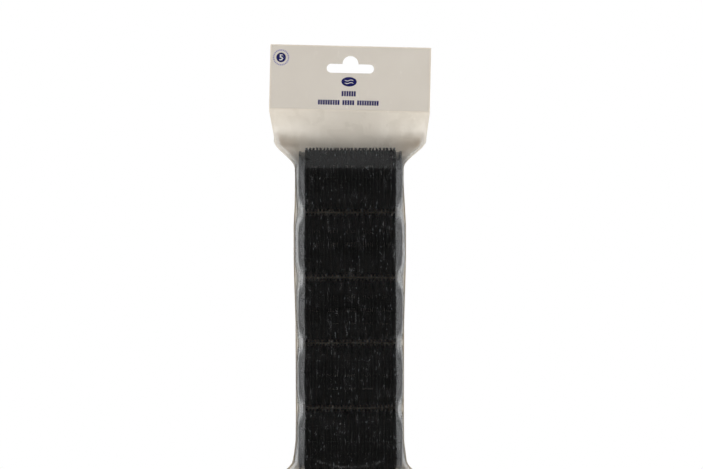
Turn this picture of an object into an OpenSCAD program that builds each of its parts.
// Hang pack of self-grip vented hair rollers.
// Five rollers lie one above another in a close-fitting film bag. The bag hangs from a printed header card
// with a hang slot. +Z is up, X runs along the rollers, and the front of the pack faces -Y.
// The origin is the centre of the hang slot.

/* [Rollers] */
// Number of rollers in the column
roller_count = 5; // [5]
// Length of a roller from rim to rim
roller_len = 63; // [58:1:70]
// Diameter over the hook tips
hook_d = 39.7; // [36:0.1:42]
// Length of the hook sleeve
sleeve_len = 56; // [50:1:56]
// Outer diameter of the moulded core under the sleeve
core_d = 34; // [30:0.5:35]
// Wall thickness of the core
core_wall = 1.4; // [1:0.1:2]
// How far the end lip stands above the core
lip_h = 0.6; // [0.3:0.1:0.8]
// Width of the end lip
lip_w = 1.2; // [0.8:0.1:2]
// Distance from one roller axis to the next
pitch = 40; // [40:0.5:44]

/* [Vents] */
// Vents in one row along a roller
vents_along = 5; // [3:1:5]
// Rows of vents around a roller, an even number
vents_around = 12; // [8:2:12]
// Length of a vent along the roller
vent_len = 6.5; // [4:0.5:7]
// Width of a vent
vent_w = 3.2; // [2:0.2:4]

/* [Header] */
// Width of the header over its side welds
header_w = 98.6; // [94:0.2:104]
// Height of the card above the slot centre
header_top = 13.9; // [12:0.1:20]
// Depth of the card below the slot centre
header_drop = 26; // [20:0.5:40]
// Thickness of the card
card_t = 0.4; // [0.3:0.05:0.8]
// How far the card stays inside each side weld
card_inset = 0.8; // [0.5:0.1:2]
// Length of the hang slot
slot_len = 29; // [26:0.5:34]
// Height of the slot's bar
slot_h = 5.5; // [4.5:0.1:7]
// Radius of the hump that the peg sits in
hump_r = 4.9; // [4:0.1:6]
// Height of the hump's centre above the bar's centre
hump_rise = 2.8; // [2:0.1:4]

/* [Film bag] */
// Thickness of one web of film
film_t = 0.3; // [0.2:0.05:0.4]
// Clear space between the film and the rollers
film_clear = 0.3; // [0.3:0.05:0.5]
// Width of the side weld
weld_w = 1.1; // [0.8:0.1:2]
// Length of bag between the card and the top roller
neck_h = 21.5; // [20:0.5:30]
// Half width of the bag where its shoulders start
shoulder_half_w = 46.6; // [44:0.1:48]
// Distance from the lowest roller's axis down to the end weld
end_drop = 30; // [28:0.5:36]
// Height of the end weld
end_weld_h = 6; // [4:0.5:10]

/* [Joints] */
// Half of the gap across the fold line
fold_gap = 0.6; // [0.6:0.1:1]
// Half of the gap across the tear line
tear_gap = 0.15; // [0.1:0.05:0.3]

/* [Hidden] */
$fn = 96;
hook_r = hook_d / 2;
core_r = core_d / 2;
bore_r = core_r - core_wall;
fit_gap = 0.02;
lip_edge = 0.3;
vent_margin = 0.75;
vent_step = roller_len / (vents_along + vent_margin);
vent_angle = 360 / vents_around;
cut_margin = 2;

fold_z = -header_drop - fold_gap;
top_axis_z = fold_z - neck_h - pitch / 2;
end_axis_z = top_axis_z - pitch * (roller_count - 1);
end_weld_z = end_axis_z - end_drop;

// Inner face of the film around the rollers
wrap_r = hook_r + film_clear;
wrap_x = sleeve_len / 2 + 2 * film_clear;
rim_x = roller_len / 2 + 2 * film_clear;
rim_y = core_r + lip_h + film_clear;
seam_gap = 0.4;
weld_x = rim_x + seam_gap + weld_w;
weld_y = 0.01;
flat_y = card_t / 2 + weld_y;

// Shoulder shape, as distances from the fold line and from the end weld
shoulder_start = 16;
shoulder_end = 33;
square_start = 11;
square_end = 22;
end_shoulder = 17;
end_square = 9;
flat_rim_x = 44;
flat_wrap_x = 36;
lens_wrap = 0.45;
lens_rim = 0.18;
lens_mid = 0.86;

card_color = "#cfc6bc";
print_film_color = "#d6d1c4";
clear_film_color = [0.85, 0.87, 0.88, 0.35];
core_color = "#101012";
hook_color = "#1b1a1b";

function mix(a, b, t) = a + (b - a) * t;
function clamp01(t) = max(0, min(1, t));
function ease(t) = let (u = clamp01(t)) u * u * (3 - 2 * u);
function roller_z(k) = top_axis_z - pitch * (k - 1);

// Depth of a film that leaves a weld at weld_z and wraps a roller whose axis is at axis_z
function wrap_depth(z, weld_z, axis_z, start_y) =
    let (
        reach = abs(weld_z - axis_z),
        lean = asin((wrap_r - start_y) / reach),
        touch = wrap_r * sin(lean),
        above = (z - axis_z) * sign(weld_z - axis_z)
    )
    above <= 0 ? wrap_r
    : above <= touch ? sqrt(wrap_r * wrap_r - above * above)
    : mix(wrap_r * cos(lean), start_y, (above - touch) / (reach - touch));

// 0 where the bag is flat and 1 where it follows the rollers
function at_top(z) = z > end_axis_z + pitch;
function from_weld(z) = at_top(z) ? fold_z - z : z - end_weld_z;
function narrowing(z) =
    at_top(z) ? ease((from_weld(z) - shoulder_start) / (shoulder_end - shoulder_start))
    : ease(from_weld(z) / end_shoulder);
function squareness(z) =
    at_top(z) ? ease((from_weld(z) - square_start) / (square_end - square_start))
    : ease(from_weld(z) / end_square);
function wide_x(z) =
    at_top(z) ? mix(header_w / 2, shoulder_half_w, clamp01(from_weld(z) / shoulder_start))
    : header_w / 2;
function film_half_w(z) = mix(wide_x(z), weld_x, narrowing(z));
function film_depth(z) =
    at_top(z) ? wrap_depth(z, fold_z, top_axis_z, flat_y)
    : wrap_depth(max(z, end_weld_z), end_weld_z, end_axis_z, weld_y);

// Half of a film's cross-section at height z, from the weld's edge to the middle
// t is 0 for the inner face and film_t for the outer one
function film_half(z, t) =
    let (
        a = film_half_w(z),
        b = film_depth(z),
        n = narrowing(z),
        s = squareness(z)
    )
    [
        [a, weld_y + t],
        [a - weld_w + t, weld_y + t],
        [mix(flat_rim_x, rim_x, n) + t, max(mix(lens_rim, rim_y / wrap_r, s) * b, weld_y) + t],
        [mix(flat_wrap_x, wrap_x, n) + t / 2, max(mix(lens_wrap, 1, s) * b, weld_y) + t],
        [mix(flat_wrap_x, wrap_x, n) / 2, max(mix(lens_mid, 1, s) * b, weld_y) + t],
        [0, b + t]
    ];
function film_row(z, t) =
    let (h = film_half(z, t), last = len(h) - 1)
    concat(
        [for (i = [0 : last]) [-h[i][0], -h[i][1], z]],
        [for (i = [last - 1 : -1 : 0]) [h[i][0], -h[i][1], z]]
    );

// A front web of film through cross-sections at the heights in zs, listed from the top down
module film_web(zs) {
    cols = 11;
    rows = len(zs);
    inner = [for (z = zs) each film_row(z, 0)];
    outer = [for (z = zs) each film_row(z, film_t)];
    o = rows * cols;
    panels = [
        for (r = [0 : rows - 2], c = [0 : cols - 2])
        let (p = r * cols + c, q = p + cols)
        each [
            [o + p, o + p + 1, o + q + 1],
            [o + p, o + q + 1, o + q],
            [p, q + 1, p + 1],
            [p, q, q + 1]
        ]
    ];
    sides = [
        for (r = [0 : rows - 2])
        let (p = r * cols, q = p + cols, e = p + cols - 1, f = q + cols - 1)
        each [
            [p, o + p, o + q],
            [p, o + q, q],
            [e, o + f, o + e],
            [e, f, o + f]
        ]
    ];
    ends = [
        for (c = [0 : cols - 2])
        let (p = c, q = (rows - 1) * cols + c)
        each [
            [p, p + 1, o + p + 1],
            [p, o + p + 1, o + p],
            [q, o + q + 1, q + 1],
            [q, o + q, o + q + 1]
        ]
    ];
    polyhedron(points = concat(inner, outer), faces = concat(panels, sides, ends), convexity = 4);
}

neck_steps = 14;
wrap_steps = 4;
wrap_h = 8;
neck_bottom_z = top_axis_z + wrap_h;
bag_top_z = fold_z - fold_gap;
bag_zs = concat(
    [for (i = [0 : neck_steps - 1]) mix(bag_top_z, neck_bottom_z, i / neck_steps)],
    [for (i = [0 : wrap_steps - 1]) mix(neck_bottom_z, top_axis_z, i / wrap_steps)],
    [for (k = [1 : roller_count - 1]) roller_z(k)],
    [end_axis_z + tear_gap]
);
end_steps = 14;
end_zs = concat(
    [for (i = [0 : end_steps]) mix(end_axis_z - tear_gap, end_weld_z, i / end_steps)],
    [end_weld_z - end_weld_h]
);

// Outline of the hang slot: a bar with round ends and a hump for the peg
module slot_outline() {
    square([slot_len - slot_h, slot_h], center = true);
    for (side = [-1, 1])
        translate([side * (slot_len - slot_h) / 2, 0]) circle(d = slot_h);
    translate([0, hump_rise]) circle(r = hump_r);
}

// A flat header layer with the hang slot through it; its back is at y = back_y
module header_layer(w, top, bottom, t, back_y) {
    translate([0, back_y, 0])
        rotate([90, 0, 0])
            linear_extrude(t)
                difference() {
                    translate([-w / 2, bottom]) square([w, top - bottom]);
                    slot_outline();
                }
}

module header_card() {
    width = header_w - 2 * card_inset;
    top = header_top - card_inset;
    bottom = card_inset - header_drop;
    color(card_color)
        header_layer(width, top, bottom, card_t, card_t / 2);
}

module front_film_header() {
    color(clear_film_color)
        header_layer(header_w, header_top, -header_drop, film_t, -flat_y);
}

module back_film_header() {
    color(print_film_color)
        header_layer(header_w, header_top, -header_drop, film_t, flat_y + film_t);
}

module front_film() {
    color(clear_film_color) film_web(bag_zs);
}

module back_film() {
    color(print_film_color) mirror([0, 1, 0]) film_web(bag_zs);
}

module front_film_end() {
    color(clear_film_color) film_web(end_zs);
}

module back_film_end() {
    color(print_film_color) mirror([0, 1, 0]) film_web(end_zs);
}

module vent_cutter() {
    cube([vent_len, vent_w, hook_d], center = true);
}

// Barrel of the moulded core, under the hook sleeve, with rows of vents, along X
module barrel(z) {
    translate([0, 0, z])
        difference() {
            rotate([0, 90, 0])
                rotate_extrude()
                    translate([bore_r, -sleeve_len / 2]) square([core_wall, sleeve_len]);
            for (i = [0 : vents_along - 1], j = [0 : vents_around / 2 - 1])
                translate([(i - (vents_along - 1) / 2) * vent_step, 0, 0])
                    rotate([j * vent_angle, 0, 0]) vent_cutter();
        }
}

// The core's bare ends, which carry on its barrel past the sleeve and close it with a raised lip
module rims(z) {
    start = sleeve_len / 2;
    end = roller_len / 2;
    lip_r = core_r + lip_h;
    for (side = [0, 1])
        translate([0, 0, z])
            mirror([side, 0, 0])
                rotate([0, 90, 0])
                    rotate_extrude()
                        polygon([
                            [bore_r, start],
                            [core_r, start],
                            [core_r, end - lip_w - lip_h],
                            [lip_r, end - lip_w],
                            [lip_r, end - lip_edge],
                            [lip_r - lip_edge, end],
                            [bore_r, end]
                        ]);
}

// Tube that the hooks fill, from their woven base to their tips
module hook_sleeve(z) {
    translate([0, 0, z])
        rotate([0, 90, 0])
            difference() {
                cylinder(h = sleeve_len, r = hook_r, center = true);
                cylinder(h = sleeve_len + cut_margin, r = core_r + fit_gap, center = true);
            }
}

module roller_core(k) {
    color(core_color) barrel(roller_z(k));
}

module roller_rims(k) {
    color(core_color) rims(roller_z(k));
}

module roller_hook_sleeve(k) {
    color(hook_color) hook_sleeve(roller_z(k));
}

header_card();
front_film_header();
back_film_header();
front_film();
back_film();
front_film_end();
back_film_end();
roller_core(1);  // roller_1_core
roller_core(2);  // roller_2_core
roller_core(3);  // roller_3_core
roller_core(4);  // roller_4_core
roller_core(5);  // roller_5_core
roller_rims(1);  // roller_1_rims
roller_rims(2);  // roller_2_rims
roller_rims(3);  // roller_3_rims
roller_rims(4);  // roller_4_rims
roller_rims(5);  // roller_5_rims
roller_hook_sleeve(1);  // roller_1_hook_sleeve
roller_hook_sleeve(2);  // roller_2_hook_sleeve
roller_hook_sleeve(3);  // roller_3_hook_sleeve
roller_hook_sleeve(4);  // roller_4_hook_sleeve
roller_hook_sleeve(5);  // roller_5_hook_sleeve
